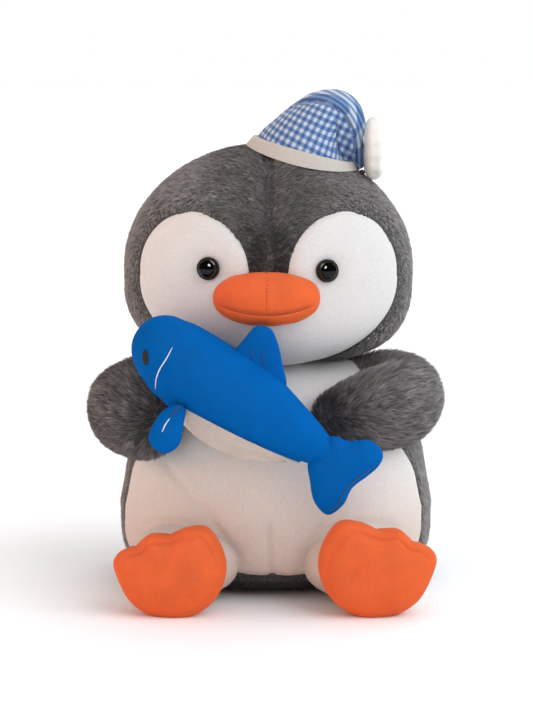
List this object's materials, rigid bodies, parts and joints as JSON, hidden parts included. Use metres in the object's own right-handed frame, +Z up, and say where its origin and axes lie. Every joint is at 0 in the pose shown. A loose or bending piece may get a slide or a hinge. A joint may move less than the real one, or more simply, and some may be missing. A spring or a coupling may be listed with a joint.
{
  "type": "plush penguin",
  "caption": "Sitting plush penguin with stuffed arms, legs and beak, hugging a small stuffed whale and wearing a nightcap with a pompom.",
  "frame": {"origin": "on the floor under the middle of the whole toy's outline", "axes": "+Z up, the penguin faces -Y, +X is on the right of someone who faces it"},
  "size_m": [0.1848, 0.1754, 0.2667],
  "materials": {
    "grey_fur": "long soft charcoal-grey faux fur",
    "white_plush": "smooth short-pile white plush",
    "orange_plush": "smooth short-pile orange plush",
    "blue_plush": "smooth stretch short-pile blue plush",
    "whale_white": "smooth short-pile warm white plush",
    "gingham": "woven blue and white gingham cotton",
    "cream_cotton": "cream brushed cotton",
    "fibre_fill": "polyester fibre fill",
    "eye_gloss": "glossy black with a dark brown rim",
    "black_thread": "matte black embroidery",
    "white_thread": "white embroidery thread",
    "washer_nylon": "plain moulded nylon"
  },
  "bodies": {
    "torso": {"body_fur": "grey_fur", "belly_panel": "white_plush", "body_stuffing": "fibre_fill", "neck_stuffing": "fibre_fill"},
    "head": {"head_fur": "grey_fur", "face_panel": "white_plush", "head_stuffing": "fibre_fill", "beak_upper": "orange_plush", "beak_lower": "orange_plush", "beak_stuffing": "fibre_fill", "eye_left": "eye_gloss", "eye_right": "eye_gloss", "eye_washer_left": "washer_nylon", "eye_washer_right": "washer_nylon", "hat_band": "cream_cotton", "hat_cone": "gingham", "hat_tack_knot": "black_thread"},
    "pompom": {"hat_pompom": "white_plush"},
    "arm_left": {"arm_fur_left": "grey_fur", "arm_stuffing_left": "fibre_fill"},
    "arm_right": {"arm_fur_right": "grey_fur", "arm_stuffing_right": "fibre_fill"},
    "leg_left": {"leg_cover_left": "white_plush", "leg_stuffing_left": "fibre_fill", "foot_sole_left": "orange_plush", "foot_upper_left": "orange_plush", "foot_stuffing_left": "fibre_fill"},
    "leg_right": {"leg_cover_right": "white_plush", "leg_stuffing_right": "fibre_fill", "foot_sole_right": "orange_plush", "foot_upper_right": "orange_plush", "foot_stuffing_right": "fibre_fill"},
    "whale": {"whale_back": "blue_plush", "whale_belly": "whale_white", "whale_stuffing": "fibre_fill", "whale_fluke": "blue_plush", "whale_dorsal_fin": "blue_plush", "whale_flipper_far": "blue_plush", "whale_eye_near": "black_thread", "whale_eye_far": "black_thread", "whale_mouth_near": "white_thread", "whale_mouth_far": "white_thread"},
    "whale_flipper": {"whale_flipper_near": "blue_plush"}
  },
  "joints": [
    {"name": "neck_nod", "type": "hinge", "parent": "torso", "child": "head", "pos_m": [-0.00123, 0.01876, 0.114], "axis": [-1, 0, 0], "range_deg": [0, 10]},
    {"name": "shoulder_left", "type": "hinge", "parent": "torso", "child": "arm_left", "pos_m": [-0.04823, 0.01876, 0.102], "axis": [0, 0, -1], "range_deg": [0, 30]},
    {"name": "shoulder_right", "type": "hinge", "parent": "torso", "child": "arm_right", "pos_m": [0.04777, 0.01876, 0.102], "axis": [0, 0, 1], "range_deg": [0, 30]},
    {"name": "hip_left", "type": "hinge", "parent": "torso", "child": "leg_left", "pos_m": [-0.04623, -0.03324, 0.026], "axis": [0, 0, -1], "range_deg": [0, 15]},
    {"name": "hip_right", "type": "hinge", "parent": "torso", "child": "leg_right", "pos_m": [0.04577, -0.03324, 0.026], "axis": [0, 0, 1], "range_deg": [0, 15]},
    {"name": "whale_pull", "type": "slide", "parent": "torso", "child": "whale", "axis": [0, -1, 0], "range_m": [0, 0.08]},
    {"name": "flipper_flap", "type": "hinge", "parent": "whale", "child": "whale_flipper", "pos_m": [-0.04473, -0.07824, 0.1095], "axis": [0.8412, 0, -0.5408], "range_deg": [0, 30]},
    {"name": "pompom_swing", "type": "hinge", "parent": "head", "child": "pompom", "pos_m": [0.05127, 0.01776, 0.249], "axis": [0, -1, 0], "range_deg": [0, 20]}
  ]
}
